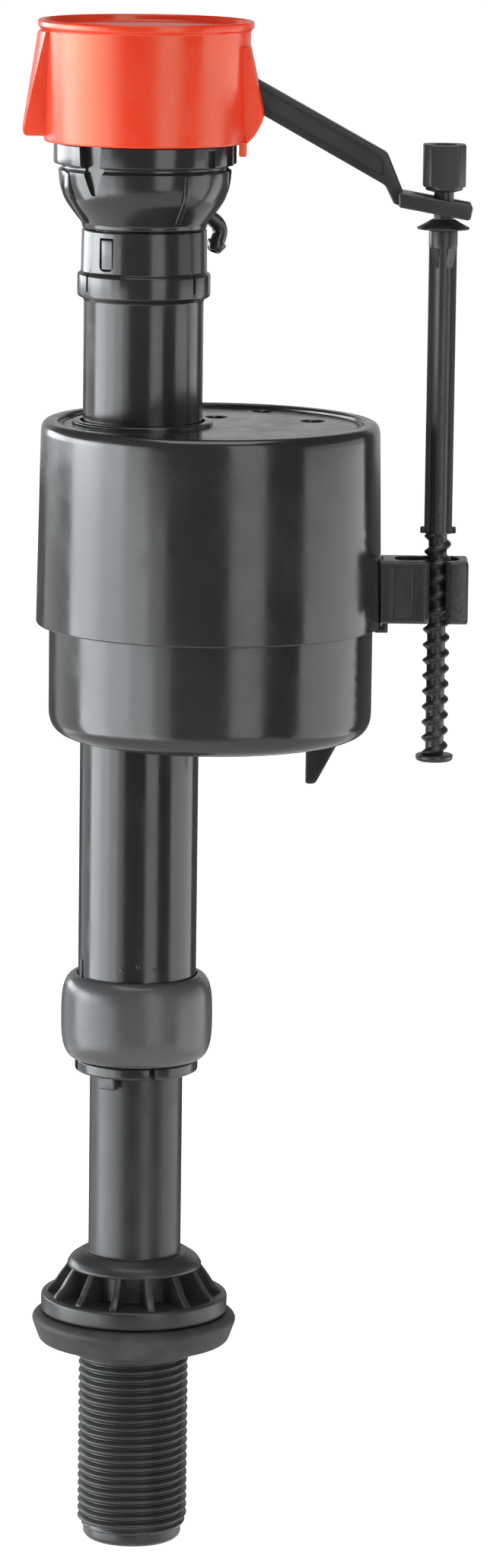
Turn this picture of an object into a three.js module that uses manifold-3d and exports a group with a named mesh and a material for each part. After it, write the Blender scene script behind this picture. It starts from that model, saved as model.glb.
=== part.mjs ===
// Toilet fill valve with a telescoping riser, a twist lock ring and a two-piece cup float.
// Millimetres, +Z up. The origin is on the riser's axis, in the plane where the shank washer
// meets the tank floor. +X points from the riser to the adjusting rod.
import * as THREE from 'three';
import { mergeVertices } from 'three/addons/utils/BufferGeometryUtils.js';
import Module from 'manifold-3d';

const wasm = await Module();
wasm.setup();

// ---- Driving dimensions ----
const GAP = 0.3; // clearance between pieces that touch
const SIDES = 32; // facets round a large diameter
const SMALL_SIDES = 16; // facets round a small diameter
const THREAD_SIDES = 20;

const SHANK_END = -44.3;
const SHANK_THREAD_START = -41.4;
const SHANK_THREAD_R = 11.9; // 15/16 inch ballcock thread
const SHANK_THREAD_PITCH = 25.4 / 14;
const SHANK_ROOT_R = 10.9;
const SHANK_BORE_R = 6.2;

const WASHER_THICK = 6.2;
const WASHER_TOP_R = 22.3;
const WASHER_BOTTOM_R = 20.5;

const FLANGE_R = 20.1;
const FLANGE_UNDER = WASHER_THICK + GAP;
const FLANGE_TOP = 10.4;
const SHOULDER_EDGE_Z = 16.6; // lower edge of the conical shoulder
const SHOULDER_EDGE_R = 14.5;
const SHOULDER_TOP = 19.7;
const GUSSETS = 14;
const GUSSET_THICK = 1.5;

const INNER_TUBE_R = 10.0; // the shank's sliding tube
const INNER_TUBE_BORE_R = 7.8;
const INNER_TUBE_TOP = 160;

const RISER_R = 12.7;
const RISER_BORE_R = 10.6;
const RISER_END = 59.8;
const RISER_LIP_R = 13.25; // keeps the lock ring on
const TONGUE_AZIMUTH = -119; // degrees from +X
const RIM_R = 14.1;
const RIM_Z = [226.9, 231.8];
const SLEEVE_R = 13.2;
const SLEEVE_BORE_R = 11.0;
const SLEEVE_TOP = 241.0;

const LOCK_RING_Z = [62.6, 81.0];
const LOCK_RING_R = 16.3;
const LOCK_RING_END_R = 13.4;

const PIPE_R = 6.2;
const PIPE_BORE_R = 4.7;
const PIPE_END = 52;
const PISTON_R = 7.4;
const O_RING_LEVELS = [54.6, 59.0];
const O_RING_WIRE_R = 0.8;

const BOWL_BASE = 241.3;
const BOWL_TOP = 259.2;
const BOWL_BAND_R = 19.3;
const NECK_R = SLEEVE_BORE_R - GAP;
const SEAT_LEVEL = 254.8;
const BEAD_LEDGE = 255.7;
const NIPPLE_LEAN = 0.5; // radians that the refill nipple's tip leans back under the bowl
const KEYHOLE_AZIMUTH = -126; // degrees from +X; the snap window and the bayonet slot line up

const CAP_BOTTOM = 259.3;
const CAP_TOP = 284.6;
const CAP_LIP_R = 22.8;
const CAP_WALL_R = 21.9;
const CAP_SKIRT_R = 21.4;
const EAR_HALF_WIDTH = 6;
const LEVER_SLOT_HALF = 3.2;

const PIVOT = { x: 13, z: 271 };
const LEVER_HALF = 2.6;
const FORK_HALF = 5.5;

const ROD_X = 63.1;
const KNOB_Z = [249.8, 259.5];
const KNOB_HALF = 4.5;
const ROD_NECK_R = 2.1;
const ROD_SHAFT_R = 2.95;
const SHAFT_TOP = 241.5;
const STOP_NUB_Z = 177.6;
const WEB_END = 176.9; // the fluted part of the shaft stops here and the thread begins
const ROD_THREAD_R = 2.75;
const ROD_ROOT_R = 1.95;
const ROD_PITCH = 3.34;
const ROD_END = 128.0;

const FLOAT_X = 14.5; // centre of the float cover, off the riser's axis
const CUP_X = 15.0; // the cup hangs a little off the cover's centre
const FLOAT_BOTTOM = 133.1;
const FLOAT_STEP = 157.1;
const FLOAT_TOP = 200.4;
const FLOAT_TOP_R = 35.9;
const FLOAT_STEP_R = 36.8;
const CUP_R = 34.5;
const GUIDE_BORE_R = 13.3; // clears the riser
const COVER_DECK = 199.6;

const BRACKET_X = [51.4, 69.6];
const BRACKET_Z = [158.2, 171.5];
const CLIP_R = 4.4;

// ---- Solid helpers ----
// Closed mesh with shared vertices, and no flat triangles, as a solid for joins and cuts.
function toSolid(source) {
  const bare = source.clone();
  bare.deleteAttribute('normal');
  bare.deleteAttribute('uv');
  const merged = mergeVertices(bare, 1e-4);
  const index = merged.getIndex().array;
  const triVerts = [];
  for (let i = 0; i < index.length; i += 3) {
    const [a, b, c] = [index[i], index[i + 1], index[i + 2]];
    if (a !== b && b !== c && c !== a) triVerts.push(a, b, c);
  }
  const mesh = new wasm.Mesh({
    numProp: 3,
    vertProperties: new Float32Array(merged.getAttribute('position').array),
    triVerts: new Uint32Array(triVerts),
  });
  return new wasm.Manifold(mesh);
}

function toGeometry(solid) {
  const mesh = solid.getMesh();
  const geometry = new THREE.BufferGeometry();
  geometry.setAttribute('position', new THREE.BufferAttribute(mesh.vertProperties, 3));
  geometry.setIndex(new THREE.BufferAttribute(mesh.triVerts, 1));
  return geometry;
}

// Turned solid about a vertical axis. The outline is [radius, z] points, anticlockwise.
function turned(outline, { sides = SIDES, x = 0, y = 0 } = {}) {
  const points = outline.map(([r, z]) => new THREE.Vector2(r, z));
  const geometry = new THREE.LatheGeometry(points, sides);
  geometry.rotateX(Math.PI / 2);
  geometry.translate(x, y, 0);
  return toSolid(geometry);
}

function ring(inner, outer, z0, z1, options) {
  return turned([[inner, z0], [outer, z0], [outer, z1], [inner, z1], [inner, z0]], options);
}

function disc(radius, z0, z1, options) {
  return turned([[0, z0], [radius, z0], [radius, z1], [0, z1]], options);
}

function block(x0, x1, y0, y1, z0, z1, azimuth = 0) {
  const geometry = new THREE.BoxGeometry(x1 - x0, y1 - y0, z1 - z0);
  geometry.translate((x0 + x1) / 2, (y0 + y1) / 2, (z0 + z1) / 2);
  geometry.rotateZ(THREE.MathUtils.degToRad(azimuth));
  return toSolid(geometry);
}

// Flat outline of [x, z] points, given a thickness from y0 to y1.
function plate(outline, y0, y1, azimuth = 0) {
  const shape = new THREE.Shape(outline.map(([x, z]) => new THREE.Vector2(x, z)));
  const geometry = new THREE.ExtrudeGeometry(shape, { depth: y1 - y0, bevelEnabled: false });
  geometry.rotateX(Math.PI / 2);
  geometry.translate(0, y1, 0);
  geometry.rotateZ(THREE.MathUtils.degToRad(azimuth));
  return toSolid(geometry);
}

// Cylinder along Y, for a pivot or its hole.
function crossPin(radius, length, x, z) {
  const geometry = new THREE.CylinderGeometry(radius, radius, length, SMALL_SIDES);
  geometry.translate(x, 0, z);
  return toSolid(geometry);
}

// Points on a quarter of a circle, for a rounded edge of a turned outline.
function corner(centreR, centreZ, radius, fromDegrees, toDegrees, steps = 3) {
  return Array.from({ length: steps + 1 }, (_, i) => {
    const angle = THREE.MathUtils.degToRad(fromDegrees + ((toDegrees - fromDegrees) * i) / steps);
    return [centreR + radius * Math.cos(angle), centreZ + radius * Math.sin(angle)];
  });
}

// Right-hand external thread. The surface is a grid that climbs one pitch a turn, so that it
// closes on itself; a turned envelope then cuts it to length.
function thread(rootR, crestR, pitch, z0, z1, sides, profile) {
  const rows = profile.length;
  const turns = Math.ceil((z1 - z0) / pitch) + 2;
  const count = turns * rows;
  const start = z0 - pitch;
  const positions = [];
  const triangles = [];
  const vertex = (side, row) => (row + (side === sides ? rows : 0)) * sides + (side % sides);
  for (let row = 0; row <= count + rows; row += 1) {
    const radius = rootR + (crestR - rootR) * profile[row % rows].height;
    const whole = Math.floor(row / rows);
    for (let side = 0; side < sides; side += 1) {
      const angle = (2 * Math.PI * side) / sides;
      const climb = whole + profile[row % rows].at + side / sides;
      positions.push(radius * Math.cos(angle), radius * Math.sin(angle), start + pitch * climb);
    }
  }
  for (let side = 0; side < sides; side += 1) {
    for (let row = 0; row < count; row += 1) {
      const [a, b] = [vertex(side, row), vertex(side + 1, row)];
      const [c, d] = [vertex(side + 1, row + 1), vertex(side, row + 1)];
      triangles.push(a, b, c, a, c, d);
    }
  }
  const centre = positions.length / 3;
  positions.push(0, 0, start - pitch, 0, 0, start + pitch * (turns + 2));
  for (let side = 0; side < sides; side += 1) {
    triangles.push(centre, vertex(side + 1, 0), vertex(side, 0));
    triangles.push(centre + 1, vertex(side, count), vertex(side + 1, count));
  }
  for (let row = 0; row < rows; row += 1) {
    triangles.push(centre, vertex(0, row), vertex(0, row + 1));
    triangles.push(centre + 1, vertex(0, count + row + 1), vertex(0, count + row));
  }
  const geometry = new THREE.BufferGeometry();
  geometry.setAttribute('position', new THREE.Float32BufferAttribute(positions, 3));
  geometry.setIndex(triangles);
  return toSolid(geometry);
}

function aroundAxis(count, make) {
  return Array.from({ length: count }, (_, i) => make((360 * i) / count))
    .reduce((all, next) => all.add(next));
}

// ---- Shank: threaded inlet, flange with gussets, and the inner sliding tube ----
function shankBody() {
  const chamfer = 1.0;
  const top = 1;
  const envelope = turned([
    [0, SHANK_THREAD_START],
    [SHANK_THREAD_R - chamfer, SHANK_THREAD_START],
    [SHANK_THREAD_R + 0.2, SHANK_THREAD_START + chamfer + 0.2],
    [SHANK_THREAD_R + 0.2, top],
    [0, top],
  ], { sides: THREAD_SIDES });
  const ridges = [{ at: 0, height: 0 }, { at: 0.5, height: 1 }];
  const screw = thread(SHANK_ROOT_R, SHANK_THREAD_R, SHANK_THREAD_PITCH, SHANK_THREAD_START, top,
    THREAD_SIDES, ridges).intersect(envelope);
  const core = turned([
    [0, SHANK_END],
    [9.8, SHANK_END],
    [10.6, SHANK_END + 0.8],
    [10.6, FLANGE_UNDER],
    [FLANGE_R - 0.5, FLANGE_UNDER],
    [FLANGE_R, FLANGE_UNDER + 0.6],
    [FLANGE_R, FLANGE_TOP - 0.4],
    [FLANGE_R - 0.6, FLANGE_TOP],
    [11.3, FLANGE_TOP],
    [11.3, SHOULDER_EDGE_Z],
    [SHOULDER_EDGE_R, SHOULDER_EDGE_Z],
    [13.7, SHOULDER_EDGE_Z + 1.7],
    [11.4, SHOULDER_TOP],
    [INNER_TUBE_R, SHOULDER_TOP],
    [INNER_TUBE_R, INNER_TUBE_TOP],
    [0, INNER_TUBE_TOP],
  ]);
  const gussetOutline = [
    [11, FLANGE_TOP - 0.5],
    [18.9, FLANGE_TOP - 0.5],
    [18.2, FLANGE_TOP + 1.2],
    [SHOULDER_EDGE_R - 0.1, SHOULDER_EDGE_Z + 0.4],
    [11, SHOULDER_EDGE_Z + 0.4],
  ];
  const half = GUSSET_THICK / 2;
  const gussets = aroundAxis(GUSSETS, (azimuth) => plate(gussetOutline, -half, half, azimuth));
  const bore = turned([
    [0, SHANK_END - 1],
    [SHANK_BORE_R, SHANK_END - 1],
    [SHANK_BORE_R, 7],
    [INNER_TUBE_BORE_R, 10],
    [INNER_TUBE_BORE_R, INNER_TUBE_TOP + 1],
    [0, INNER_TUBE_TOP + 1],
  ], { sides: THREAD_SIDES });
  return core.add(screw).add(gussets).subtract(bore);
}

function shankWasher() {
  const bore = SHANK_THREAD_R + GAP;
  return turned([
    [bore, -2.6],
    [13.9, -2.6],
    [14.8, 0],
    [WASHER_BOTTOM_R, 0],
    [WASHER_TOP_R, WASHER_THICK - 1.2],
    [WASHER_TOP_R - 1.5, WASHER_THICK],
    [bore, WASHER_THICK],
    [bore, -2.6],
  ]);
}

// ---- Riser ----
function riserTube() {
  const body = turned([
    [RISER_BORE_R, RISER_END],
    [RISER_LIP_R - 0.3, RISER_END],
    [RISER_LIP_R, RISER_END + 0.4],
    [RISER_LIP_R, LOCK_RING_Z[0] - GAP],
    [RISER_R, LOCK_RING_Z[0] - GAP],
    [RISER_R, RIM_Z[0] - 0.6],
    [RIM_R - 0.3, RIM_Z[0]],
    [RIM_R, RIM_Z[0] + 0.4],
    [RIM_R, RIM_Z[1] - 0.4],
    [SLEEVE_R + 0.2, RIM_Z[1]],
    [SLEEVE_R, SLEEVE_TOP],
    [SLEEVE_BORE_R, SLEEVE_TOP],
    [SLEEVE_BORE_R, 225],
    [RISER_BORE_R, 224],
    [RISER_BORE_R, RISER_END],
  ]);
  const keyhole = block(10.5, 15, -1.8, 1.8, RIM_Z[1] + 0.8, SLEEVE_TOP - 1.2, KEYHOLE_AZIMUTH);
  const tongue = block(RISER_BORE_R + 0.2, RISER_R + 0.2, -1.9, 1.9, RISER_END - 2.4,
    RISER_END + 2, TONGUE_AZIMUTH);
  const splits = aroundAxis(4, (turn) => (
    block(9, 15, -0.7, 0.7, RISER_END - 3, RISER_END + 14, TONGUE_AZIMUTH + 45 + turn)));
  return body.add(tongue).subtract(keyhole).subtract(splits);
}

function lockRing() {
  const [z0, z1] = LOCK_RING_Z;
  const bore = RISER_R + GAP;
  const middle = (z0 + z1) / 2;
  const half = (z1 - z0) / 2;
  const steps = 10;
  const barrel = Array.from({ length: steps + 1 }, (_, i) => {
    const t = -Math.cos((Math.PI * i) / steps);
    const swell = Math.sqrt(1 - Math.abs(t) ** 3.2);
    return [LOCK_RING_END_R + (LOCK_RING_R - LOCK_RING_END_R) * swell, middle + half * t];
  });
  return turned([[bore, z0], ...barrel, [bore, z1], [bore, z0]]);
}

// ---- Water path inside the riser ----
function innerPipe() {
  const groove = PISTON_R - 2 * O_RING_WIRE_R - 0.1;
  const half = O_RING_WIRE_R + 0.25;
  const grooves = O_RING_LEVELS.flatMap((level) => [
    [PISTON_R, level - half],
    [groove, level - half],
    [groove, level + half],
    [PISTON_R, level + half],
  ]);
  return turned([
    [PIPE_BORE_R, PIPE_END],
    [PISTON_R - 0.5, PIPE_END],
    ...grooves,
    [PISTON_R, 61.5],
    [PIPE_R, 63],
    [PIPE_R, 236],
    [PIPE_BORE_R, 236],
    [PIPE_BORE_R, PIPE_END],
  ], { sides: THREAD_SIDES });
}

function pipeSealRing(level) {
  const outer = INNER_TUBE_BORE_R - 0.25;
  const outline = corner(outer - O_RING_WIRE_R, level, O_RING_WIRE_R - 0.02, 0, 360, 6);
  return turned(outline, { sides: THREAD_SIDES });
}

// ---- Valve head ----
function valveBowl() {
  const pipeSocket = PIPE_R + GAP;
  const body = turned([
    [pipeSocket, 226],
    [NECK_R, 226],
    [NECK_R, BOWL_BASE],
    [SLEEVE_R, BOWL_BASE],
    [SLEEVE_R + 0.1, 242.2],
    [14.3, 243.5],
    [15.7, 245.4],
    [17.0, 247.4],
    [17.9, 249.6],
    [18.2, 253.6],
    [17.7, 253.9],
    [17.7, 254.4],
    [BOWL_BAND_R, 254.7],
    [BOWL_BAND_R, BOWL_TOP],
    [16.4, BOWL_TOP],
    [16.4, BEAD_LEDGE],
    [15.0, BEAD_LEDGE],
    [15.0, 249.5],
    [12.5, 246.5],
    [6.0, 246.5],
    [6.0, SEAT_LEVEL],
    [4.2, SEAT_LEVEL],
    [4.2, 236.6],
    [pipeSocket, 236.3],
    [pipeSocket, 226],
  ]);
  const snapLug = block(10.2, 12.8, -1.4, 1.4, 233.6, 238.6, KEYHOLE_AZIMUTH);
  const rib = plate([[13, 242.4], [14.6, 242.6], [18.4, 249], [18.4, 253.4], [16, 253.4]],
    -1.1, 1.1, -140);
  const outlets = aroundAxis(4, (turn) => {
    const hole = new THREE.CylinderGeometry(1.5, 1.5, 24, 10);
    hole.rotateX(Math.PI / 2);
    hole.translate(8.6, 0, 236);
    hole.rotateZ(THREE.MathUtils.degToRad(turn + 45));
    return toSolid(hole);
  });
  const bayonetSlots = aroundAxis(3, (turn) => (
    block(17.2, 21, -1.8, 1.8, 249.2, 258.2, KEYHOLE_AZIMUTH + turn)));
  return body.add(snapLug).add(rib).subtract(outlets).subtract(bayonetSlots).add(refillNipple());
}

// Elbow behind the bowl that the refill hose pushes onto, open at its tip.
function refillNipple() {
  const path = new THREE.CurvePath();
  const at = (r, z) => new THREE.Vector3(r, 0, z);
  path.add(new THREE.LineCurve3(at(14.2, 245.4), at(20.6, 241.7)));
  path.add(new THREE.QuadraticBezierCurve3(at(20.6, 241.7), at(23.4, 240.1), at(22.0, 237.6)));
  path.add(new THREE.LineCurve3(at(22.0, 237.6), at(20.3, 234.5)));
  const section = new THREE.Shape();
  section.absarc(0, 0, 1.6, 0, 2 * Math.PI);
  const geometry = new THREE.ExtrudeGeometry(section, {
    steps: 12, curveSegments: 6, bevelEnabled: false, extrudePath: path,
  });
  const pipe = toSolid(geometry);
  const tip = new THREE.CylinderGeometry(2.3, 1.5, 2.2, 12);
  tip.rotateX(Math.PI / 2);
  tip.rotateY(NIPPLE_LEAN);
  tip.translate(20.6, 0, 235.0);
  const hole = new THREE.CylinderGeometry(0.9, 0.9, 8, 8);
  hole.rotateX(Math.PI / 2);
  hole.rotateY(NIPPLE_LEAN);
  hole.translate(20.4, 0, 234.7);
  return pipe.add(toSolid(tip)).subtract(toSolid(hole)).rotate([0, 0, 45]);
}

function diaphragm() {
  return turned([
    [1.0, 255.2],
    [7.0, 255.2],
    [7.5, 256.2],
    [14.4, 256.2],
    [14.6, 256.0],
    [16.0, 256.0],
    [16.0, 259.1],
    [14.4, 259.1],
    [14.4, 257.2],
    [7.5, 257.2],
    [7.0, 257.6],
    [1.0, 257.6],
    [1.0, 255.2],
  ], { sides: 24 });
}

function meteringPin() {
  return disc(0.6, 252.5, 261.8, { sides: 10 });
}

// Insert under the cap: pilot nozzle on the axis and two cheeks that carry the lever's pivot.
function capBase() {
  const under = BOWL_TOP + GAP;
  const deck = 262.2;
  const base = disc(19.3, under, deck);
  const nozzle = disc(2.4, deck - 0.5, 263.0, { sides: 12 });
  const cheek = (y0, y1) => block(PIVOT.x - 3, PIVOT.x + 3, y0, y1, deck - 0.5, PIVOT.z + 3);
  const bleed = disc(0.95, under - 1, 265, { sides: 10 });
  return base
    .add(nozzle)
    .add(cheek(LEVER_HALF + 0.4, LEVER_HALF + 3.4))
    .add(cheek(-LEVER_HALF - 3.4, -LEVER_HALF - 0.4))
    .subtract(crossPin(1.95, 20, PIVOT.x, PIVOT.z))
    .subtract(bleed);
}

// Ears widen upwards, from 0.8 to 1.6 times their mean width.
function wedged(ears) {
  return ears.warp((point) => {
    point[1] *= 0.8 + (0.8 * (point[2] - CAP_BOTTOM)) / (CAP_TOP - CAP_BOTTOM);
  });
}

function capCover() {
  const outside = turned([
    [0, CAP_BOTTOM],
    [CAP_SKIRT_R, CAP_BOTTOM],
    [CAP_WALL_R, 282.0],
    [CAP_LIP_R, 282.8],
    ...corner(CAP_LIP_R - 0.8, CAP_TOP - 0.8, 0.8, 0, 90, 2),
    [21.1, CAP_TOP],
    [20.8, CAP_TOP - 0.7],
    [0, CAP_TOP - 0.5],
  ]);
  const leftEar = plate([
    [-17, CAP_BOTTOM + 1.2],
    [-17, 282.4],
    [-22.6, 282.4],
    [-25.8, 262.0],
    [-25.2, CAP_BOTTOM + 1.2],
  ], -EAR_HALF_WIDTH, EAR_HALF_WIDTH);
  const rightEar = plate([
    [17, CAP_BOTTOM],
    [21.4, CAP_BOTTOM],
    [23.0, 261.2],
    [24.8, 264.6],
    [25.0, 266.0],
    [21.9, 279.6],
    [17, 279.6],
  ], -EAR_HALF_WIDTH, EAR_HALF_WIDTH);
  const flare = turned([[0, 250], [26.9, 256], [22.6, 282.4], [0, 282.4]]);
  const hollow = turned([
    [0, CAP_BOTTOM - 1],
    [19.65, CAP_BOTTOM - 1],
    [19.75, CAP_BOTTOM + 2],
    [20.6, 281.7],
    [19.6, 282.4],
    [0, 282.8],
  ]);
  const leverSlot = block(12, 28, -LEVER_SLOT_HALF, LEVER_SLOT_HALF, CAP_BOTTOM - 1, 277);
  const lockTab = block(19.8, 21.4, -7, -LEVER_SLOT_HALF - 0.2, CAP_BOTTOM - 2.5, CAP_BOTTOM + 0.5);
  const ears = wedged(leftEar.add(rightEar)).intersect(flare);
  return outside.add(ears).subtract(hollow).subtract(leverSlot).add(lockTab);
}

// ---- Lever ----
function lever() {
  const bar = plate([
    [-2.6, 268.4],
    [8, 267.6],
    [20, 267.9],
    [50.8, 250.9],
    [52.6, 247.0],
    [54.5, 246.4],
    [54.5, 249.4],
    [50.9, 257.5],
    [19, 275.2],
    [9, 274.6],
    [-2.6, 271.6],
  ], -LEVER_HALF, LEVER_HALF);
  const forkOutline = [[53.5, 246.5], [68.7, 243.8], [69.3, 247.0], [53.5, 249.7]];
  const fork = plate(forkOutline, -FORK_HALF, FORK_HALF);
  const forkSlot = block(56.2, 72, -2.5, 2.5, 240, 255);
  const padSocket = disc(2.1, 266, 270.2, { sides: 16 });
  return bar
    .add(fork)
    .add(crossPin(1.6, 2 * (LEVER_HALF + 2.9), PIVOT.x, PIVOT.z))
    .subtract(forkSlot)
    .subtract(padSocket);
}

function pilotPad() {
  return disc(1.8, 265.5, 269.9, { sides: 16 });
}

// ---- Adjusting rod: square knob, fluted shaft, stop nubs, coarse thread and end disc ----
function adjustingRod() {
  const knob = block(ROD_X - KNOB_HALF, ROD_X + KNOB_HALF, -KNOB_HALF, KNOB_HALF, ...KNOB_Z)
    .intersect(disc(5.4, ...KNOB_Z, { sides: 20, x: ROD_X }));
  const knobWell = disc(2.6, KNOB_Z[1] - 6, KNOB_Z[1] + 1, { sides: 12, x: ROD_X });
  const at = (sides) => ({ sides, x: ROD_X });
  const neck = disc(ROD_NECK_R, SHAFT_TOP - 1, KNOB_Z[0] + 1, at(16));
  const blade = 0.9;
  const webX = block(ROD_X - ROD_SHAFT_R, ROD_X + ROD_SHAFT_R, -blade, blade, WEB_END, SHAFT_TOP);
  const webY = block(ROD_X - blade, ROD_X + blade, -ROD_SHAFT_R, ROD_SHAFT_R, WEB_END, SHAFT_TOP);
  const web = webX.add(webY).add(disc(ROD_NECK_R, WEB_END, SHAFT_TOP, at(12)));
  const collar = disc(3.05, 237, SHAFT_TOP, at(16));
  const nubs = block(ROD_X - 3.8, ROD_X + 3.8, -0.7, 0.7, STOP_NUB_Z - 0.6, STOP_NUB_Z + 0.8);
  const ridges = [{ at: 0, height: 0 }, { at: 0.4, height: 0 }, { at: 0.7, height: 1 }];
  const screwTop = WEB_END + 0.2;
  const screw = thread(ROD_ROOT_R, ROD_THREAD_R, ROD_PITCH, ROD_END + 1, screwTop, 12, ridges)
    .intersect(disc(ROD_THREAD_R + 1, ROD_END + 1, screwTop, { sides: 12 }))
    .translate([ROD_X, 0, 0]);
  const endDisc = disc(4.0, ROD_END, ROD_END + 1.5, at(20));
  return knob.subtract(knobWell).add(neck).add(web).add(collar).add(nubs).add(screw).add(endDisc);
}

// Umbrella-shaped snap ring on the rod's neck, under the lever's fork.
function rodClip() {
  const z0 = SHAFT_TOP + GAP;
  const bore = ROD_NECK_R + GAP;
  const body = turned([
    [bore, z0],
    [3.3, z0 + 0.5],
    [5.5, z0 - 0.3],
    [5.6, z0 + 0.4],
    [3.4, z0 + 1.4],
    [bore, z0 + 2.1],
    [bore, z0],
  ], { sides: 24, x: ROD_X });
  return body.subtract(block(ROD_X - 1.8, ROD_X + 1.8, 0.5, 8, z0 - 1, z0 + 3));
}

// ---- Float ----
const floatAt = { x: FLOAT_X };

function floatCover() {
  const inset = 1.1; // wall thickness
  const outside = turned([
    [0, FLOAT_STEP],
    [FLOAT_STEP_R, FLOAT_STEP],
    [FLOAT_TOP_R + 0.1, 198.6],
    ...corner(FLOAT_TOP_R - 1.9, 198.5, 1.9, 0, 90, 3),
    [0, FLOAT_TOP],
  ], floatAt);
  const inside = turned([
    [0, FLOAT_STEP - 1],
    [FLOAT_STEP_R - inset, FLOAT_STEP - 1],
    [FLOAT_TOP_R - inset, COVER_DECK - 1.5],
    [0, COVER_DECK - 1.5],
  ], floatAt);
  const recess = disc(FLOAT_TOP_R - 3.4, COVER_DECK, FLOAT_TOP + 1, floatAt);
  const groove = ring(FLOAT_TOP_R - 4.6, FLOAT_TOP_R - 3.4, COVER_DECK - 0.3, FLOAT_TOP, floatAt);
  const hub = ring(GUIDE_BORE_R, 15.0, 166, FLOAT_TOP, { sides: 32 });
  const guideBore = disc(GUIDE_BORE_R, 150, FLOAT_TOP + 2, { sides: 32 });
  const drain = (x, y, radius) => (
    disc(radius, COVER_DECK - 3, COVER_DECK + 1, { sides: 16, x, y }));
  return outside
    .subtract(inside)
    .subtract(recess)
    .subtract(groove)
    .subtract(guideBore)
    .add(hub)
    .subtract(drain(25.8, 25.4, 2.6))
    .subtract(drain(36.2, 8.3, 2.6))
    .subtract(drain(15.6, 13.6, 2.4))
    .subtract(drain(4.0, 24.5, 3.8))
    .subtract(drain(-5.0, 19.5, 3.8));
}

function floatCup() {
  const wall = 1.4;
  const top = 165.5;
  const round = 5;
  const outside = turned([
    [0, FLOAT_BOTTOM],
    ...corner(CUP_R - round, FLOAT_BOTTOM + round, round, -90, 0, 4),
    [CUP_R, top],
    [0, top],
  ], { x: CUP_X });
  const inside = turned([
    [0, FLOAT_BOTTOM + wall],
    ...corner(CUP_R - round, FLOAT_BOTTOM + round, round - wall, -90, 0, 4),
    [CUP_R - wall, top + 1],
    [0, top + 1],
  ], { x: CUP_X });
  const sleeve = disc(14.9, FLOAT_BOTTOM + 0.5, top, { sides: 32 });
  const guideBore = disc(GUIDE_BORE_R, FLOAT_BOTTOM - 1, top + 1, { sides: 32 });
  const fin = plate([
    [35.6, FLOAT_BOTTOM + 0.8],
    [35.6, 122.8],
    [37.7, 122.6],
    [42.4, 131.4],
    [42.4, FLOAT_BOTTOM + 0.8],
  ], -1, 1);
  return outside.subtract(inside).add(sleeve).add(fin).subtract(guideBore);
}

// Arm on the cover's lower rim, with an open channel at the front for the rod.
function floatBracket() {
  const [x0, x1] = BRACKET_X;
  const [z0, z1] = BRACKET_Z;
  const body = block(x0 - 3, x1, -6, 5.5, z0, z1);
  const coverShape = turned([
    [0, z0 - 1],
    [FLOAT_STEP_R + GAP, z0 - 1],
    [FLOAT_STEP_R + GAP, z1 + 1],
    [0, z1 + 1],
  ], floatAt);
  const channel = disc(CLIP_R + GAP, z0 - 1, z1 + 1, { sides: 20, x: ROD_X });
  const mouth = block(ROD_X - 1.9, ROD_X + 1.9, -9, 0, z0 - 1, z1 + 1);
  const topSlot = block(54, 60.6, -4, 4, z1 - 1.6, z1 + 1);
  const hook = block(49.8, 52.2, -3, 3, FLOAT_STEP - 1.3, FLOAT_STEP - GAP);
  const hookStem = block(51.5, 52.7, -3, 3, FLOAT_STEP - 1.3, z0 + 1);
  return body
    .subtract(coverShape)
    .subtract(channel)
    .subtract(mouth)
    .subtract(topSlot)
    .add(hook)
    .add(hookStem);
}

// Toothed C-shaped clip in the bracket that grips the rod's thread and lets the rod turn.
function rodNutClip() {
  const [z0, z1] = [BRACKET_Z[0] + 0.6, BRACKET_Z[1] - 0.6];
  const body = ring(ROD_THREAD_R + GAP, CLIP_R, z0, z1, { sides: 20, x: ROD_X });
  return body.subtract(block(ROD_X - 2.2, ROD_X + 2.2, -8, -1, z0 - 1, z1 + 1));
}

// ---- Materials ----
function plastic(color, roughness) {
  return new THREE.MeshStandardMaterial({ color, roughness, metalness: 0 });
}

const GLOSS_GREY = plastic(0x39393b, 0.25);
const SATIN_GREY = plastic(0x6a6a6c, 0.45);
const MATT_BLACK = plastic(0x242424, 0.55);
const CAP_RED = plastic(0xe0412a, 0.3);
const RUBBER = plastic(0x1b1b1b, 0.8);
const STEEL = new THREE.MeshStandardMaterial({ color: 0xb8b8b8, roughness: 0.3, metalness: 1 });

// ---- Assembly ----
function mesh(name, solid, material) {
  const part = new THREE.Mesh(toGeometry(solid), material);
  part.name = name;
  return part;
}

const shank = new THREE.Group();
shank.add(
  mesh('shank_body', shankBody(), MATT_BLACK),
  mesh('shank_washer', shankWasher(), RUBBER),
);

const riser = new THREE.Group();
riser.add(
  mesh('riser_tube', riserTube(), GLOSS_GREY),
  mesh('lock_ring', lockRing(), SATIN_GREY),
  mesh('inner_pipe', innerPipe(), GLOSS_GREY),
  mesh('pipe_o_ring_lower', pipeSealRing(O_RING_LEVELS[0]), RUBBER),
  mesh('pipe_o_ring_upper', pipeSealRing(O_RING_LEVELS[1]), RUBBER),
  mesh('valve_bowl', valveBowl(), GLOSS_GREY),
  mesh('diaphragm', diaphragm(), RUBBER),
);

const cap = new THREE.Group();
cap.add(
  mesh('cap_cover', capCover(), CAP_RED),
  mesh('cap_base', capBase(), GLOSS_GREY),
  mesh('metering_pin', meteringPin(), STEEL),
  mesh('lever', lever(), MATT_BLACK),
  mesh('pilot_pad', pilotPad(), RUBBER),
);

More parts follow.
